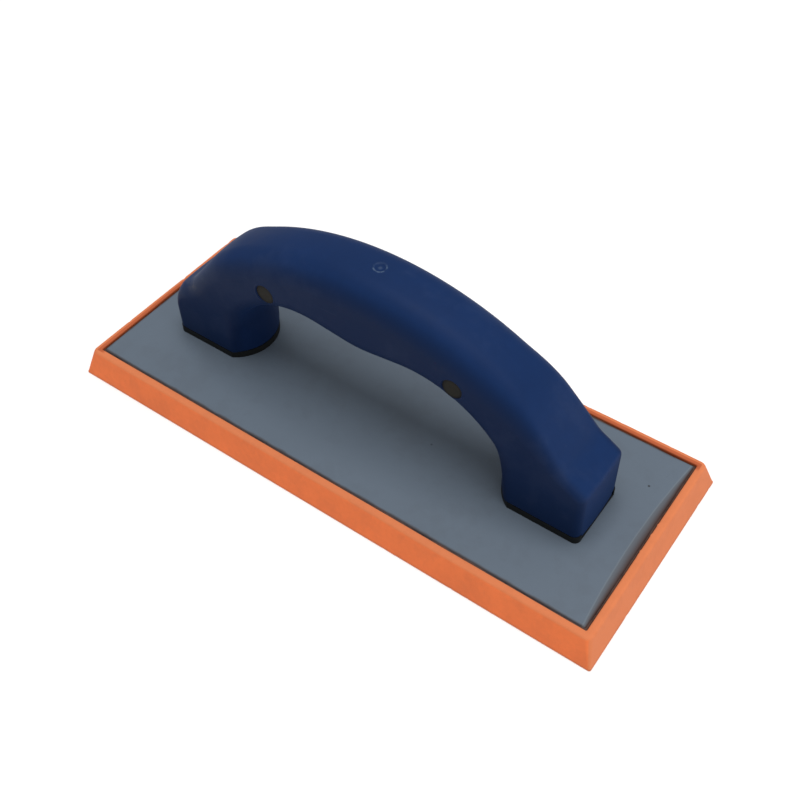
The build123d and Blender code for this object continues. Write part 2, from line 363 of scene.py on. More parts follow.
def wave_pad(points, insets, outward):
    """Bows the sides in and out, and lets the lip rise and fall."""
    top, height = PAD_HIGH[2], points[:, 2]
    side = smooth_step(0.5, 3, height) * (insets < SIDE_RUN + LIP_WIDTH - 0.1)
    points += outward * (WALL_WAVE * side * soft_noise(points, WALL_WAVELENGTH, seed=1))[:, None]
    lip = smooth_step(top - 2.5, top, height) * (insets > SIDE_RUN / 2)
    wave = LIP_WAVE * (soft_noise(points, LIP_WAVELENGTH, seed=2) - LIP_SINK)
    points[:, 2] += lip * (wave + LIP_RIPPLE * soft_noise(points, LIP_RIPPLE_LENGTH, seed=3))


def chip_edges(points, outward):
    """Nicks in the lip and the foot edge, and crumbs of rubber left on the lip's inner edge."""
    draw = np.random.default_rng(7)
    half, top = PAD_HIGH[:2], PAD_HIGH[2]
    for index in range(NICKS):
        at_lip = index % 3
        inset, height = (SIDE_RUN + 0.3, top - 0.25) if at_lip else (0.05, 0.3)
        place = edge_place(half - inset, draw.uniform(0, 1), height)
        size = draw.uniform(*NICK_SIZE)
        depth = draw.uniform(*NICK_DEPTH) * size * (1 if at_lip else FOOT_NICK_SHARE)
        push_near(points, place, size, outward * -depth)
    for _ in range(CRUMBS):
        inset = SIDE_RUN + LIP_WIDTH - 0.15
        place = edge_place(half - inset, draw.uniform(0, HEEL_SHARE), top - 0.15)
        push_near(points, place, draw.uniform(*CRUMB_SIZE), CRUMB_PUSH * draw.uniform(0.5, 1))


def edge_place(half, share, height):
    """A point at a share of the way round a rectangle, starting up its +X side."""
    lengths = np.array([half[1], half[0], half[1], half[0]]) * 2
    run = share * lengths.sum()
    for i, length in enumerate(lengths):
        if run <= length:
            here, there = np.array(CORNERS[i]) * half, np.array(CORNERS[(i + 1) % 4]) * half
            return np.array([*mix(here, there, run / length), height])
        run -= length
    return np.array([*np.array(CORNERS[0]) * half, height])


def push_near(points, place, size, push):
    """Moves the points near a place, most at its middle."""
    away = np.linalg.norm(points - place, axis=1) / size
    near = away < 1
    share = ((1 - away[near] ** 2) ** 2)[:, None]
    points[near] += share * (push[near] if push.ndim == 2 else push)


# ================================================================ adhesive
BEAD_TOP = BOND_HIGH[2] + 0.25
BEAD_GAP = 0.02              # left free beside the lip and the plate's edge
BEAD_LAP = 0.4               # how far the bead laps onto the plate
BEAD_WAVE = 0.4
BEAD_WAVELENGTH = 9
BEAD_RIPPLE = 0.15
BEAD_RIPPLE_LENGTH = 2.2
BEAD_SINK = 0.1
SHEET_RING = 8               # how far in the innermost rings lie, above and below the sheet
PLATE_CORNER = 0.8


def bead_outline():
    """The bond's section from the recess floor over the bead to under the plate: half sizes, height."""
    outer, inner = BOND_HIGH[:2] - BEAD_GAP, PLATE_HIGH[:2] + BEAD_GAP
    outline = [(outer - SHEET_RING, BOND_LOW[2]), (outer - 0.1, BOND_LOW[2])]
    outline += [(outer, mix(BOND_LOW[2], BEAD_TOP, share)) for share in (0.02, 0.5, 0.95)]
    outline += [(mix(outer, inner, 0.35), BEAD_TOP + 0.1), (mix(outer, inner, 0.75), BEAD_TOP + 0.12)]
    outline += [(PLATE_HIGH[:2] - BEAD_LAP, BEAD_TOP + 0.35), (inner, BEAD_TOP - 0.4), (inner, PLATE_LOW[2])]
    return outline + [(inner - SHEET_RING, PLATE_LOW[2])]


def make_adhesive(material):
    """The bond under the plate, squeezed up unevenly between the plate's edge and the lip."""
    stations = ring_stations(*PAD_HIGH[:2])
    mid_gap = (BOND_HIGH[0] + PLATE_HIGH[0]) / 2
    rings = []
    for half, height in bead_outline():
        corner = RECESS_CORNER if half[0] > mid_gap else PLATE_CORNER
        rings.append(ring(stations, half, corner, height))
    points = np.concatenate(rings)
    lift = smooth_step(BEAD_TOP - 1.0, BEAD_TOP, points[:, 2])
    wave = BEAD_WAVE * soft_noise(points, BEAD_WAVELENGTH, seed=4)
    ripple = BEAD_RIPPLE * soft_noise(points, BEAD_RIPPLE_LENGTH, seed=5)
    points[:, 2] += lift * (wave + ripple - BEAD_SINK)
    new_piece("adhesive_bead", points, ring_faces(len(rings), len(stations)), material,
              "adhesive_layer")


# ================================================================ soft grip
HALF_WIDTH = GRIP_HIGH[1]
FOOT_END = GRIP_HIGH[0]
CROWN_Z = GRIP_HIGH[2]
GRIP_FOOT_Z = PLATE_TOP + 3.0        # lower edge along the sides of a foot
GRIP_END_Z = GRIP_LOW[2]             # lower edge at the end faces
GRIP_WALL = 3.0
APRON_INSET = 2.8                    # from the sides to where the grip comes lower across an end face

CROWN_RADIUS = 126.8
HAUNCH = (FOOT_END - 26.9, 64.3)     # where the crown turns down into the leg
HAUNCH_RADIUS = 45.0
CROWN_SLOPE = math.radians(28)
FLARE = (FOOT_END - 9.2, PLATE_TOP + 29.75)
FLARE_RADIUS = 14.0
END_TOP = PLATE_TOP + 24.0
END_TOP_RADIUS = {"toe": 12.0, "heel": 3.0}

SWELL_Z = CROWN_Z - 31.7             # tip of the palm swell, before its rounding
SWELL_SLOPE = math.tan(math.radians(7.5))
SWELL_RADIUS = 45.0
LEG_INNER = FOOT_END - 28.9
HOLLOW_RADIUS = 42.0
FOOT_INNER = FOOT_END - 37.3
FOOT_BULGE = LEG_INNER - FOOT_INNER
FOOT_ARC = (HALF_WIDTH**2 + FOOT_BULGE**2) / (2 * FOOT_BULGE)
CROTCH_ROUND = 4.0                   # where a foot's round front runs up into the arch

CROWNING = (2.2, 0.5)                # drop of the top towards its sides: at mid-handle, at its ends
SHOULDER = (9.0, 2.5)                # rounding between top and sides, likewise
ENDS_X = (52, 90)                    # where the middle's form turns into that of the ends
TOE_SHOULDER = 3.2                   # more of it over the toe foot
TOE_SHOULDER_X = (60, 85)            # where it sets in, towards the toe and upwards
TOE_SHOULDER_Z = (26, 36)
OPENING_RIM = (1.5, 6.5)             # rounding round the finger opening: at the feet, under the arch
ARCH_Z = (22, 42)                    # where the feet's rounding turns into the arch's
CORE_SHOULDER = 11.0
EDGE_ROUND = 0.3                     # edges of the skin
FOOT_EDGE_ROUND = 0.45               # its lower edge

WINDOW_X = FOOT_END - 53.6
WINDOW_Z = 59.4
WINDOW_RADIUS = 4.0
WINDOW_BEAD_HEIGHT = 0.16            # ring moulded round each window
WINDOW_BEAD_WIDTH = 0.35
WINDOW_BEAD_OUT = 0.45               # from the window's edge
GATE_X = 2.0
GATE_RADIUS = 2.5
GATE_DIMPLE = 0.22
GATE_RIM = 0.12
GATE_STUB = 0.2

GRID_STEP = 0.95
FINE_STEP = 0.36
GRID_MARGIN = 1.5


def mirrored(half, toe_radius=None):
    """Corners of one half and their mirror image. The toe's own end corner may be rounder."""
    toe = [(-x, z, toe_radius if toe_radius and z == END_TOP else r) for x, z, r in half]
    return toe + [(x, z, r) for x, z, r in reversed(half) if x != 0]


def outer_path():
    """Over the handle from the toe to the heel, seen from its right side."""
    vertex_z = HAUNCH[1] + HAUNCH[0] * math.tan(CROWN_SLOPE)
    half = [(FOOT_END, -30, 0), (FOOT_END, END_TOP, END_TOP_RADIUS["heel"]), (*FLARE, FLARE_RADIUS)]
    half += [(*HAUNCH, HAUNCH_RADIUS), (0, vertex_z, CROWN_RADIUS)]
    return rounded_path(mirrored(half, END_TOP_RADIUS["toe"]))


def opening_path():
    """Over the finger opening, up one leg, past the palm swell and down the other."""
    knee_z = SWELL_Z + LEG_INNER * SWELL_SLOPE
    half = [(LEG_INNER, -40, 0), (LEG_INNER, knee_z, HOLLOW_RADIUS), (0, SWELL_Z, SWELL_RADIUS)]
    return rounded_path(mirrored(half))


OUTER, OPENING = outer_path(), opening_path()


def foot_column(x, y):
    """Round front of a foot, running straight up until the arch takes it in."""
    centre = FOOT_INNER + FOOT_ARC
    return np.hypot(np.minimum(np.abs(x) - centre, 0), y) - FOOT_ARC


def handle_surface(x, y, z):
    """Outside of the handle as the hand feels it, softer at the toe than at the heel."""
    towards_end = smooth_step(*ENDS_X, np.abs(x))
    toe_top = smooth_step(*TOE_SHOULDER_X, -x) * smooth_step(*TOE_SHOULDER_Z, z)
    top = left_of_path(OUTER, x, z) + mix(*CROWNING, towards_end) * (y / HALF_WIDTH) ** 2
    body = round_off(top, np.abs(y) - HALF_WIDTH, mix(*SHOULDER, towards_end) + TOE_SHOULDER * toe_top)
    front = fill_in(-left_of_path(OPENING, x, z), foot_column(x, y), CROTCH_ROUND)
    return round_off(body, front, mix(*OPENING_RIM, smooth_step(*ARCH_Z, z)))


def core_surface(x, y, z):
    """Outside of the core, one grip wall inside the handle."""
    body = round_off(left_of_path(OUTER, x, z), np.abs(y) - HALF_WIDTH, CORE_SHOULDER)
    front = np.minimum(-left_of_path(OPENING, x, z), foot_column(x, y))
    return np.maximum(body, front) + GRIP_WALL


def gate_relief(x, y, z):
    """How far the gate mark lies below the crown: a dimple with a raised rim and a stub."""
    from_middle = np.hypot(x - GATE_X, y)
    dimple = GATE_DIMPLE * (1 - smooth_step(GATE_RADIUS - 0.9, GATE_RADIUS - 0.3, from_middle))
    rim = GATE_RIM * np.exp(-((from_middle - GATE_RADIUS) / 0.4) ** 2)
    stub = GATE_STUB * np.exp(-(from_middle / 0.55) ** 2)
    return (dimple - rim - stub) * (z > CROWN_Z - 5)


def grip_field(x, y, z):
    """The soft grip: a skin over the core, open underneath, with four round windows and a gate mark."""
    window = np.hypot(np.abs(x) - WINDOW_X, z - WINDOW_Z) - WINDOW_RADIUS
    bead = WINDOW_BEAD_HEIGHT * np.exp(-((window - WINDOW_BEAD_OUT) / WINDOW_BEAD_WIDTH) ** 2)
    outside = handle_surface(x, y, z) - bead * (np.abs(y) > HALF_WIDTH / 2) + gate_relief(x, y, z)
    skin = round_off(outside, -core_surface(x, y, z), EDGE_ROUND)
    skin = round_off(skin, -window, EDGE_ROUND)
    beside_apron = np.maximum(FOOT_END - GRIP_WALL - np.abs(x), np.abs(y) - (HALF_WIDTH - APRON_INSET))
    step = np.minimum(GRIP_FOOT_Z - z, beside_apron)
    return round_off(skin, np.maximum(step, GRIP_END_Z - z), FOOT_EDGE_ROUND)


def grip_grid():
    """Grid for the grip, finer round its windows, its gate mark and its lower edge."""
    window_reach, gate_reach = WINDOW_RADIUS + 1, GATE_RADIUS + 0.7
    heel_windows = [WINDOW_X - window_reach, WINDOW_X + window_reach]
    toe_windows = [-WINDOW_X - window_reach, -WINDOW_X + window_reach]
    gate_along, gate_across = [GATE_X - gate_reach, GATE_X + gate_reach], [-gate_reach, gate_reach]
    lower_edge = [GRIP_END_Z, GRIP_FOOT_Z + 0.8]
    window_height = [WINDOW_Z - window_reach, WINDOW_Z + window_reach]
    end, side = FOOT_END + GRID_MARGIN, HALF_WIDTH + GRID_MARGIN
    bottom, top = GRIP_END_Z - 1.2, CROWN_Z + GRID_MARGIN
    return (
        graded_axis(-end, end, GRID_STEP, FINE_STEP, [toe_windows, gate_along, heel_windows]),
        graded_axis(-side, side, GRID_STEP, FINE_STEP, [gate_across]),
        graded_axis(bottom, top, GRID_STEP, FINE_STEP, [lower_edge, window_height]),
    )


def make_grip(material):
    points, faces = mesh_field(grip_field, grip_grid())
    piece = new_piece("soft_grip", points, faces, material, "grip_overmould")
    _, slope = field_slope(grip_field, points)
    normals = slope / np.linalg.norm(slope, axis=1, keepdims=True)
    piece.data.normals_split_custom_set_from_vertices(normals.tolist())


# ================================================================ shader nodes
def feed(tree, value, socket):
    """Sets a socket to a value, or links it to the socket that the value comes from."""
    if isinstance(value, bpy.types.NodeSocket):
        tree.links.new(value, socket)
    else:
        socket.default_value = value


def put(tree, kind, inputs=None, **settings):
    """Adds a node. Each input is a value, or the socket that it comes from."""
    node = tree.nodes.new("ShaderNode" + kind)
    for key, value in settings.items():
        setattr(node, key, value)
    for key, value in (inputs or {}).items():
        feed(tree, value, node.inputs[key])
    return node


def calc(tree, operation, *values):
    """A math node's result."""
    return put(tree, "Math", dict(enumerate(values)), operation=operation).outputs[0]


def plus(tree, a, b):
    return calc(tree, "ADD", a, b)


def minus(tree, a, b):
    return calc(tree, "SUBTRACT", a, b)


def times(tree, *values):
    product = values[0]
    for value in values[1:]:
        product = calc(tree, "MULTIPLY", product, value)
    return product


def larger(tree, a, b):
    return calc(tree, "MAXIMUM", a, b)


def either_way(tree, value, middle=0.0):
    """How far a value is from a middle one, above or below it."""
    return calc(tree, "ABSOLUTE", minus(tree, value, middle))


def distance(tree, a, b):
    """How far (a, b) is from (0, 0)."""
    return calc(tree, "SQRT", plus(tree, calc(tree, "POWER", a, 2.0), calc(tree, "POWER", b, 2.0)))


def ramp(tree, value, low, high):
    """0 below low, 1 above high, smooth between. Low may be the larger."""
    node = put(tree, "MapRange", {"Value": value, "From Min": low, "From Max": high},
               interpolation_type="SMOOTHSTEP")
    return node.outputs["Result"]


def tint(tree, colour, other, mask, share=1.0):
    """A colour turned towards another one, as far as the mask times a share says."""
    return put(tree, "Mix", {0: times(tree, mask, share), 6: colour, 7: other}, data_type="RGBA").outputs[2]


def place_of(tree):
    """Position on the float, in metres."""
    return put(tree, "TexCoord").outputs["Object"]


def split_place(tree):
    """Position on the float along each axis, in millimetres."""
    scaled = put(tree, "VectorMath", {0: place_of(tree), "Scale": 1 / MM}, operation="SCALE")
    return put(tree, "SeparateXYZ", {0: scaled.outputs[0]}).outputs


def per_metre(tree, size_mm):
    """The texture scale for features of a size, which is a number or a socket."""
    if isinstance(size_mm, bpy.types.NodeSocket):
        return calc(tree, "DIVIDE", 1 / MM, size_mm)
    return 1 / (size_mm * MM)


def moved_noise(tree, size_mm, seed, detail=4.0, roughness=0.55, stretch=(1, 1, 1)):
    """Noise whose grains are about size_mm across, moved elsewhere by the seed."""
    place = put(tree, "Mapping", {"Vector": place_of(tree), "Scale": stretch,
                                  "Location": (seed, -seed, seed / 2)}).outputs[0]
    return put(tree, "TexNoise", {"Vector": place, "Scale": per_metre(tree, size_mm), "Detail": detail,
                                  "Roughness": roughness}).outputs["Fac"]


def new_group(name, inputs, outputs):
    """A node group, its input node's sockets and its output node's sockets."""
    group = bpy.data.node_groups.new(name, "ShaderNodeTree")
    for title, default in inputs.items():
        kind = "NodeSocketColor" if isinstance(default, tuple) else "NodeSocketFloat"
        group.interface.new_socket(name=title, in_out="INPUT", socket_type=kind).default_value = default
    for title, kind in outputs.items():
        group.interface.new_socket(name=title, in_out="OUTPUT", socket_type=kind)
    return group, group.nodes.new("NodeGroupInput").outputs, group.nodes.new("NodeGroupOutput").inputs


def use_group(tree, group, **inputs):
    """Places a group and returns its outputs. Underscores in an input's name stand for spaces."""
    by_title = {key.replace("_", " "): value for key, value in inputs.items()}
    return put(tree, "Group", by_title, node_tree=group).outputs


# ---------------------------------------------------------------- effects that finishes share
def make_mottle_group():
    """Blotches that darken or lighten a colour by a few percent, at two sizes."""
    group, given, out = new_group(
        "mottle", {"Colour": (0.5, 0.5, 0.5, 1), "Size mm": 12.0, "Amount": 0.1},
        {"Colour": "NodeSocketColor", "Value": "NodeSocketFloat"})
    broad = moved_noise(group, given["Size mm"], 0.37)
    fine = moved_noise(group, calc(group, "DIVIDE", given["Size mm"], 7.0), 0.71)
    both = plus(group, times(group, broad, 0.65), times(group, fine, 0.35))
    gain = plus(group, 1.0, times(group, minus(group, both, 0.5), given["Amount"], 4.0))
    scaled = put(group, "VectorMath", {0: given["Colour"], "Scale": gain}, operation="SCALE")
    feed(group, scaled.outputs[0], out["Colour"])
    feed(group, both, out["Value"])
    return group


def make_grain_group():
    """Height of a fine moulded surface: even grain with scattered pits."""
    group, given, out = new_group(
        "moulded_grain", {"Grain mm": 0.5, "Pits mm": 2.0, "Pit depth": 0.3}, {"Height": "NodeSocketFloat"})
    grain = moved_noise(group, given["Grain mm"], 0.13, detail=3.0)
    pits = put(group, "TexVoronoi", {"Vector": place_of(group), "Scale": per_metre(group, given["Pits mm"])})
    pit = minus(group, 1.0, ramp(group, pits.outputs["Distance"], 0.05, 0.22))
    feed(group, minus(group, grain, times(group, pit, given["Pit depth"])), out["Height"])
    return group


def make_scuff_group():
    """Masks of dusty patches and of faint scratches both ways. Coverage runs from 0 to 1."""
    group, given, out = new_group(
        "scuffs", {"Size mm": 14.0, "Coverage": 0.3, "Streak": 0.5},
        {"Patches": "NodeSocketFloat", "Scratches": "NodeSocketFloat"})
    patch = moved_noise(group, given["Size mm"], 1.9, detail=8.0, roughness=0.68)
    edge = minus(group, 0.78, times(group, given["Coverage"], 0.5))
    along = moved_noise(group, 2.2, 3.1, detail=5.0, roughness=0.6, stretch=(0.12, 1.6, 1.0))
    across = moved_noise(group, 2.6, 4.3, detail=5.0, roughness=0.6, stretch=(1.4, 0.16, 1.0))
    scratch = larger(group, ramp(group, along, 0.665, 0.74), ramp(group, across, 0.685, 0.76))
    feed(group, ramp(group, patch, minus(group, edge, 0.12), edge), out["Patches"])
    feed(group, times(group, scratch, given["Streak"]), out["Scratches"])
    return group


def make_wear_group():
    """Mask of rubbed outer edges, broken up by noise."""
    group, given, out = new_group(
        "edge_wear", {"From": 0.52, "To": 0.6, "Break mm": 3.0}, {"Edges": "NodeSocketFloat"})
    sharpness = put(group, "NewGeometry").outputs["Pointiness"]
    edges = put(group, "MapRange", {"Value": sharpness, "From Min": given["From"], "From Max": given["To"]})
    broken = moved_noise(group, given["Break mm"], 2.3, detail=6.0, roughness=0.65)
    feed(group, times(group, edges.outputs["Result"], ramp(group, broken, 0.35, 0.65)), out["Edges"])
    return group


MOTTLE = make_mottle_group()
GRAIN = make_grain_group()
SCUFFS = make_scuff_group()
WEAR = make_wear_group()


def new_material(name, **constants):
    """A material with a Principled shader, whose constants are set on the shader itself."""
    material = bpy.data.materials.new(name)
    material.use_nodes = True
    shader = material.node_tree.nodes["Principled BSDF"]
    for key, value in constants.items():
        shader.inputs[key.replace("_", " ")].default_value = value
    return material, material.node_tree, shader


def mottled_roughness(tree, body, low, swing):
    """Roughness that rises from low by a swing, with the mottle's value."""
    return plus(tree, low, times(tree, body["Value"], swing))


def dress(tree, shader, colour, rough, grain, depth_mm, strength):
    """Wires a finish's colour, roughness and grain to its shader."""
    bump = put(tree, "Bump", {"Height": grain["Height"], "Distance": depth_mm * MM, "Strength": strength})
    feed(tree, colour, shader.inputs["Base Color"])
    feed(tree, rough, shader.inputs["Roughness"])
    feed(tree, bump.outputs["Normal"], shader.inputs["Normal"])


# ---------------------------------------------------------------- soft grip's finish
# Colours are linear red, green and blue, with an alpha of 1. Positions on the float are in millimetres.
NAVY = (0.0042, 0.0195, 0.076, 1)
NAVY_SIDE_SHADE = (0.0024, 0.0108, 0.042, 1)
NAVY_HOLLOW_SHADE = (0.0018, 0.0075, 0.033, 1)
GRIP_DUST = (0.11, 0.13, 0.19, 1)
TOE_DUST = (0.11, 0.105, 0.09, 1)
GATE_SCAR_AND_HIGHLIGHT = (0.085, 0.13, 0.2, 1)


def gate_scar_and_highlight(tree, x, y, z):
    """Mask of the gate mark: a broken scar ring with a painted highlight, clearest on its heel and right
    side, round a stub.
    """
    along = minus(tree, x, GATE_X)
    from_middle = distance(tree, along, y)
    line = ramp(tree, either_way(tree, from_middle, GATE_RADIUS - 0.15), 0.5, 0.1)
    # the painted highlight is strongest on the ring's heel and right side
    highlight_side = plus(tree, times(tree, along, 0.6), times(tree, y, -0.8))
    line_share = plus(tree, 0.22, times(tree, ramp(tree, highlight_side, -1.6, 0.8), 0.78))
    stub = times(tree, ramp(tree, from_middle, 1.1, 0.4), 0.4)
    on_crown = ramp(tree, z, CROWN_Z - 3, CROWN_Z - 2)
    broken = ramp(tree, moved_noise(tree, 1.6, 5.5), 0.34, 0.56)
    return times(tree, larger(tree, times(tree, line, line_share), stub), on_crown, broken)


def grip_navy():
    """Soft-touch navy elastomer: painted shade down its sides and in the hollows between the legs, dusty over
    the toe foot.
    """
    material, tree, shader = new_material("grip_navy", Specular_IOR_Level=0.09)
    body = use_group(tree, MOTTLE, Colour=NAVY, Size_mm=26.0, Amount=0.12)
    scuffs = use_group(tree, SCUFFS, Size_mm=30.0, Coverage=0.34, Streak=0.5)
    x, y, z = split_place(tree)
    # painted shade: darker towards the sides, which face away from the overhead light
    side = ramp(tree, either_way(tree, y), HALF_WIDTH - 4.5, HALF_WIDTH - 0.3)
    colour = tint(tree, body["Colour"], NAVY_SIDE_SHADE, side, 0.8)
    dusty = plus(tree, times(tree, scuffs["Patches"], 0.03), times(tree, scuffs["Scratches"], 0.05))
    colour = tint(tree, colour, GRIP_DUST, dusty)
    colour = tint(tree, colour, GATE_SCAR_AND_HIGHLIGHT, gate_scar_and_highlight(tree, x, y, z), 0.62)
    toe = times(tree, ramp(tree, x, -70.0, -86.0), ramp(tree, z, 36.0, 44.0))
    toe_dust = plus(tree, 0.1, times(tree, scuffs["Patches"], 0.36))
    colour = tint(tree, colour, TOE_DUST, toe, toe_dust)
    # painted shade under the arch, between the legs and low down
    between_legs_shade = ramp(tree, either_way(tree, x), LEG_INNER + 2, LEG_INNER - 4)
    colour = tint(tree, colour, NAVY_HOLLOW_SHADE, times(tree, between_legs_shade, ramp(tree, z, 46.0, 28.0)), 0.55)
    rough = mottled_roughness(tree, body, 0.5, 0.16)
    rough = minus(tree, rough, times(tree, scuffs["Scratches"], 0.1))
    grain = use_group(tree, GRAIN, Grain_mm=0.45, Pits_mm=1.7, Pit_depth=0.12)
    dress(tree, shader, colour, rough, grain, depth_mm=0.05, strength=0.35)
    return material


# ---------------------------------------------------------------- rubber pad's finish
ORANGE = (0.74, 0.168, 0.048, 1)
ORANGE_LIT_FACE_TONE = (0.6, 0.175, 0.066, 1)
ORANGE_EDGE = (0.8, 0.29, 0.12, 1)
ORANGE_SMUDGE = (0.36, 0.1, 0.045, 1)
ORANGE_SCRATCH = (0.85, 0.38, 0.18, 1)
ORANGE_INNER_WALL_SHADE_AND_RESIDUE = (0.14, 0.04, 0.02, 1)
ORANGE_FAR_LIP_SHADE = (0.36, 0.065, 0.018, 1)
ORANGE_FOOT_SHADE = (0.4, 0.12, 0.05, 1)


def near_recess(tree, x, y, outer, inner):
    """Mask of what lies within the recess, fading from inner to outer beyond its walls."""
    along = ramp(tree, either_way(tree, x), BOND_HIGH[0] + outer, BOND_HIGH[0] + inner)
    across = ramp(tree, either_way(tree, y), BOND_HIGH[1] + outer, BOND_HIGH[1] + inner)
    return times(tree, along, across)


def pad_orange():
    """Orange gum rubber: matte, smudged, with a painted lit tone on the lip and the heel side, and painted
    shade round the recess and at the foot.
    """
    material, tree, shader = new_material("pad_orange", Specular_IOR_Level=0.25)
    body = use_group(tree, MOTTLE, Colour=ORANGE, Size_mm=15.0, Amount=0.1)
    wear = use_group(tree, WEAR, From=0.53, To=0.62, Break_mm=5.0)
    scuffs = use_group(tree, SCUFFS, Size_mm=9.0, Coverage=0.38, Streak=0.5)
    x, y, z = split_place(tree)
    end, top = PAD_HIGH[0], PAD_HIGH[2]
    square_x = plus(tree, x, times(tree, z, SIDE_RUN / top))
    # painted light: the lip top and the heel side, which face the lamps, get a paler, less red lit copy of
    # the orange
    lip_lit_tone, heel_lit_tone = ramp(tree, z, top - 1.2, top - 0.3), ramp(tree, square_x, end - 1.2, end - 0.4)
    colour = tint(tree, body["Colour"], ORANGE_LIT_FACE_TONE, larger(tree, lip_lit_tone, heel_lit_tone))
    colour = tint(tree, colour, ORANGE_EDGE, wear["Edges"], 0.25)
    colour = tint(tree, colour, ORANGE_SMUDGE, scuffs["Patches"], 0.1)
    colour = tint(tree, colour, ORANGE_SCRATCH, scuffs["Scratches"], 0.1)
    above_foot = ramp(tree, z, 3.0, 4.0)
    below_lip = ramp(tree, z, top - 0.3, top - 1.1)
    # the lip's inner walls: painted shade with some adhesive residue
    inner_wall_shade_and_residue = times(tree, near_recess(tree, x, y, 0.55, 0.1), above_foot, below_lip)
    colour = tint(tree, colour, ORANGE_INNER_WALL_SHADE_AND_RESIDUE, inner_wall_shade_and_residue, 0.5)
    # painted shade over the inner edge and wall of the lip at the toe and along the far side
    at_toe = ramp(tree, x, 3 - BOND_HIGH[0], 1 - BOND_HIGH[0])
    at_left = ramp(tree, y, BOND_HIGH[1] - 3, BOND_HIGH[1] - 1)
    far_lip_shade = times(tree, near_recess(tree, x, y, 1.6, 1.1), larger(tree, at_toe, at_left), above_foot)
    colour = tint(tree, colour, ORANGE_FAR_LIP_SHADE, far_lip_shade, 0.75)
    # painted contact shade, darker towards the foot
    colour = tint(tree, colour, ORANGE_FOOT_SHADE, ramp(tree, z, 1.6, 0.1), 0.35)
    grain = use_group(tree, GRAIN, Grain_mm=0.7, Pits_mm=2.6, Pit_depth=0.5)
    dress(tree, shader, colour, mottled_roughness(tree, body, 0.66, 0.2), grain, depth_mm=0.12, strength=0.4)
    return material


# ---------------------------------------------------------------- backing plate's finish
PLATE_GREY = (0.093, 0.12, 0.154, 1)
PLATE_SCRATCH = (0.05, 0.058, 0.07, 1)
PLATE_PATCH = (0.055, 0.06, 0.07, 1)
PLATE_SPECK = (0.02, 0.02, 0.022, 1)
SPECK_SPACING = 26.0
EDGE_SMEAR_AND_SHADE = (0.04, 0.032, 0.03, 1)
FILM_THICK_AND_SHADE = (0.045, 0.024, 0.02, 1)
FILM_THIN_AND_SHADE = (0.086, 0.095, 0.11, 1)
FILM_RIM_HIGHLIGHT = (0.19, 0.21, 0.22, 1)
FILM_REACH = 3.1                     # from the heel edge, at its widest
FILM_TAPER = 2.3                     # how much less it is at the plate's sides
FILM_MIDDLE = -2.0                   # where across the plate it is widest
FLECK = (103.5, 23.2)                # a fleck of dried grout
FLECK_DARK = (0.012, 0.012, 0.014, 1)


def heel_film_shade_and_highlight(tree, colour, x, y, wobble):
    """Adhesive film with painted bevel shade that laps the plate's heel edge, thinning inwards to a painted
    highlight line at its rim.
    """
    off_middle = calc(tree, "DIVIDE", minus(tree, y, FILM_MIDDLE), PLATE_HIGH[1])
    reach = minus(tree, FILM_REACH, times(tree, calc(tree, "POWER", off_middle, 2.0), FILM_TAPER))
    from_heel = plus(tree, minus(tree, PLATE_HIGH[0], x), times(tree, wobble, 0.3))
    across = calc(tree, "DIVIDE", from_heel, reach)
    # adhesive film and painted shade of the heel edge's bevel
    film_and_shade = tint(tree, FILM_THICK_AND_SHADE, FILM_THIN_AND_SHADE, ramp(tree, across, 0.1, 0.95))
    colour = tint(tree, colour, film_and_shade, ramp(tree, across, 1.12, 0.95), 0.9)
    # painted highlight line along the film's rim
    off_highlight_line = either_way(tree, minus(tree, from_heel, reach), 0.35)
    return tint(tree, colour, FILM_RIM_HIGHLIGHT, ramp(tree, off_highlight_line, 0.4, 0.05), 0.25)


def plate_grey():
    """Matte grey sheet: faint scuffs, dark specks, smeared edges with painted edge shade, and a film of
    adhesive at the heel with painted bevel shade and a painted highlight line.
    """
    material, tree, shader = new_material("plate_grey", Specular_IOR_Level=0.3)
    body = use_group(tree, MOTTLE, Colour=PLATE_GREY, Size_mm=32.0, Amount=0.04)
    scuffs = use_group(tree, SCUFFS, Size_mm=18.0, Coverage=0.36, Streak=0.8)
    colour = tint(tree, body["Colour"], PLATE_SCRATCH, scuffs["Scratches"], 0.22)
    colour = tint(tree, colour, PLATE_PATCH, scuffs["Patches"], 0.1)
    specks = put(tree, "TexVoronoi", {"Vector": place_of(tree), "Scale": per_metre(tree, SPECK_SPACING)})
    colour = tint(tree, colour, PLATE_SPECK, ramp(tree, specks.outputs["Distance"], 0.022, 0.012), 0.5)
    x, y, _ = split_place(tree)
    to_end = minus(tree, PLATE_HIGH[0], either_way(tree, x))
    to_side = minus(tree, PLATE_HIGH[1], either_way(tree, y))
    wobble = times(tree, minus(tree, moved_noise(tree, 7.0, 6.1, detail=6.0), 0.5), 1.2)
    to_edge = plus(tree, calc(tree, "MINIMUM", to_end, to_side), wobble)
    # smear and painted shade along the plate's rounded edge
    colour = tint(tree, colour, EDGE_SMEAR_AND_SHADE, ramp(tree, to_edge, 1.2, 0.2), 0.75)
    colour = heel_film_shade_and_highlight(tree, colour, x, y, wobble)
    from_fleck = distance(tree, minus(tree, x, FLECK[0]), minus(tree, y, FLECK[1]))
    colour = tint(tree, colour, FLECK_DARK, ramp(tree, from_fleck, 0.6, 0.3), 0.85)
    rough = mottled_roughness(tree, body, 0.5, 0.16)
    rough = minus(tree, rough, times(tree, scuffs["Scratches"], 0.12))
    grain = use_group(tree, GRAIN, Grain_mm=0.8, Pits_mm=3.5, Pit_depth=0.15)
    dress(tree, shader, colour, rough, grain, depth_mm=0.05, strength=0.3)
    return material


# ---------------------------------------------------------------- core's finish
CORE_BLACK = (0.006, 0.007, 0.0075, 1)
CORE_DUST = (0.04, 0.036, 0.026, 1)
BOSS_BROWN = (0.0095, 0.009, 0.006, 1)
BOSS_RIM_SHADE = (0.002, 0.002, 0.003, 1)


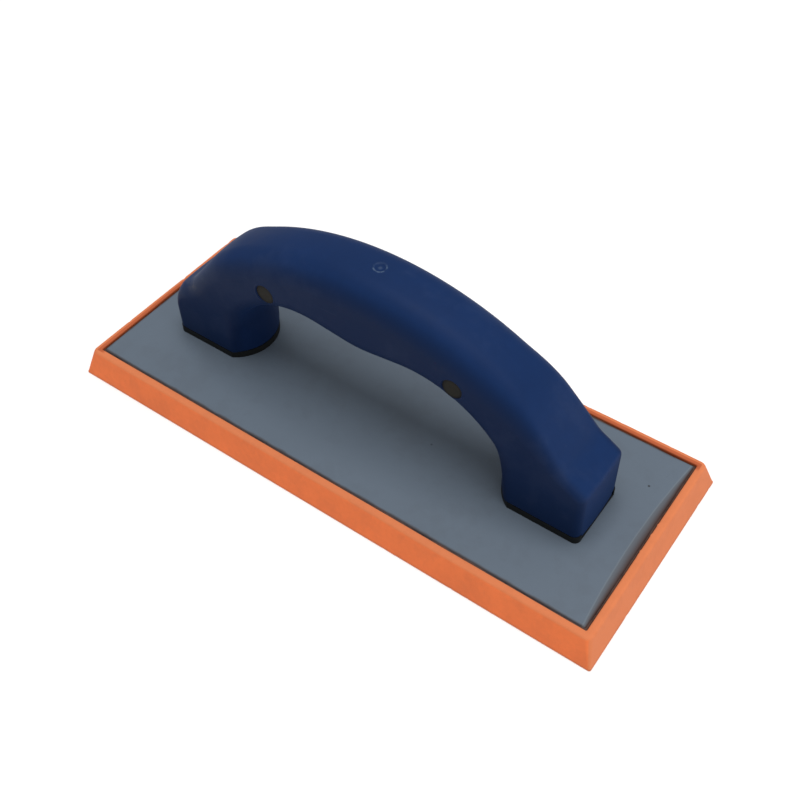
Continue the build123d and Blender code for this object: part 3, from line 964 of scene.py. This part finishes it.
def core_black():
    """Brown-black moulded plastic, dustier on the bosses that show in the windows, with painted shade round
    their rims.
    """
    material, tree, shader = new_material("core_black", Specular_IOR_Level=0.12)
    body = use_group(tree, MOTTLE, Colour=CORE_BLACK, Size_mm=6.0, Amount=0.14)
    scuffs = use_group(tree, SCUFFS, Size_mm=3.0, Coverage=0.6, Streak=0.6)
    x, _, z = split_place(tree)
    above_foot = ramp(tree, z, PLATE_TOP + 12, PLATE_TOP + 20)
    colour = tint(tree, body["Colour"], BOSS_BROWN, above_foot)
    colour = tint(tree, colour, CORE_DUST, scuffs["Patches"], plus(tree, 0.04, times(tree, above_foot, 0.1)))
    from_middle = distance(tree, minus(tree, either_way(tree, x), WINDOW_X), minus(tree, z, WINDOW_Z))
    # painted shade round each boss, where the window's wall shades it
    boss_rim_shade = times(tree, above_foot, ramp(tree, from_middle, WINDOW_RADIUS - 1.2, WINDOW_RADIUS - 0.4))
    colour = tint(tree, colour, BOSS_RIM_SHADE, boss_rim_shade, 0.8)
    grain = use_group(tree, GRAIN, Grain_mm=0.4, Pits_mm=1.5, Pit_depth=0.1)
    dress(tree, shader, colour, mottled_roughness(tree, body, 0.42, 0.25), grain, depth_mm=0.05, strength=0.4)
    return material


# ---------------------------------------------------------------- finishes of the bond and the fasteners
ADHESIVE = (0.03, 0.0135, 0.0095, 1)
ADHESIVE_SKIN = (0.13, 0.05, 0.03, 1)
ZINC = (0.6, 0.6, 0.56, 1)
ZINC_RUBBED = (0.8, 0.8, 0.78, 1)


def adhesive_brown():
    """Dried contact adhesive: dark red-brown, lumpy, with a dull skin."""
    material, tree, shader = new_material("adhesive_brown", Specular_IOR_Level=0.4)
    body = use_group(tree, MOTTLE, Colour=ADHESIVE, Size_mm=4.0, Amount=0.2)
    scuffs = use_group(tree, SCUFFS, Size_mm=2.5, Coverage=0.55, Streak=0.0)
    colour = tint(tree, body["Colour"], ADHESIVE_SKIN, scuffs["Patches"], 0.3)
    grain = use_group(tree, GRAIN, Grain_mm=0.5, Pits_mm=1.2, Pit_depth=0.5)
    dress(tree, shader, colour, mottled_roughness(tree, body, 0.45, 0.3), grain, depth_mm=0.15, strength=0.6)
    return material


def zinc_plate():
    """Bright zinc plating with a faint yellow cast and dull patches."""
    material, tree, shader = new_material("zinc_plate", Metallic=1.0)
    body = use_group(tree, MOTTLE, Colour=ZINC, Size_mm=1.5, Amount=0.12)
    wear = use_group(tree, WEAR, From=0.52, To=0.6, Break_mm=0.8)
    colour = tint(tree, body["Colour"], ZINC_RUBBED, wear["Edges"], 0.5)
    grain = use_group(tree, GRAIN, Grain_mm=0.25, Pits_mm=0.9, Pit_depth=0.2)
    dress(tree, shader, colour, mottled_roughness(tree, body, 0.26, 0.22), grain, depth_mm=0.02, strength=0.3)
    return material


def finish_nodes(material, names):
    """Gives CAD nodes that keep their own shape a finish."""
    for name in names:
        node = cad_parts[name]
        node.data.materials.clear()
        node.data.materials.append(material)


# ================================================================ studio
CAMERA_PLACE = np.array([169.9, -212.8, 320.2])
CAMERA_AIM = np.array([-2.1, 14.1, 0.0])
CAMERA_ROLL = -1.88
CAMERA_LENS = 47.18
WORLD_STRENGTH = 0.55
FLOOR_REACH = 4.0                    # metres
FLOOR_WHITE = (0.9, 0.9, 0.9, 1)


def make_camera():
    data = bpy.data.cameras.new("camera")
    data.lens, data.sensor_width = CAMERA_LENS, 36.0
    data.clip_start, data.clip_end = 0.01, 20
    camera = bpy.data.objects.new("camera", data)
    bpy.context.scene.collection.objects.link(camera)
    camera.location = Vector(CAMERA_PLACE * MM)
    aim = Vector(CAMERA_AIM - CAMERA_PLACE).to_track_quat("-Z", "Y")
    camera.rotation_mode = "QUATERNION"
    camera.rotation_quaternion = aim @ Quaternion((0, 0, 1), math.radians(CAMERA_ROLL))
    bpy.context.scene.camera = camera


def add_light(name, place, size, power):
    """A square soft light that faces the float."""
    data = bpy.data.lights.new(name, "AREA")
    data.size, data.energy = size, power
    light = bpy.data.objects.new(name, data)
    light.location = place
    light.rotation_euler = (-Vector(place)).to_track_quat("-Z", "Y").to_euler()
    bpy.context.scene.collection.objects.link(light)


def make_floor():
    mesh = bpy.data.meshes.new("floor")
    mesh.from_pydata([(x * FLOOR_REACH, y * FLOOR_REACH, 0) for x, y in CORNERS], [], [(0, 1, 2, 3)])
    material, tree, shader = new_material("floor_white", Roughness=0.9, Specular_IOR_Level=0.1)
    tone = use_group(tree, MOTTLE, Colour=FLOOR_WHITE, Size_mm=300.0, Amount=0.004)
    feed(tree, tone["Colour"], shader.inputs["Base Color"])
    mesh.materials.append(material)
    floor = bpy.data.objects.new("floor", mesh)
    bpy.context.scene.collection.objects.link(floor)


def make_studio():
    world = bpy.data.worlds.new("studio")
    world.use_nodes = True
    backdrop = world.node_tree.nodes["Background"]
    backdrop.inputs["Color"].default_value = (1, 1, 1, 1)
    backdrop.inputs["Strength"].default_value = WORLD_STRENGTH
    bpy.context.scene.world = world
    add_light("overhead_softbox", (0.08, 0.0, 1.6), size=1.0, power=19)
    add_light("heel_side_fill", (1.7, 0.1, 0.5), size=1.0, power=8)
    make_floor()
    view = bpy.context.scene.view_settings
    view.view_transform, view.look = "Standard", "None"


# ================================================================ the float
make_camera()
make_studio()
make_pad(pad_orange())
make_adhesive(adhesive_brown())
make_grip(grip_navy())
finish_nodes(plate_grey(), ["backing_plate"])
finish_nodes(core_black(), ["core_half_left", "core_half_right"])
finish_nodes(zinc_plate(), [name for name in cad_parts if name.startswith(("screw_", "washer_"))])
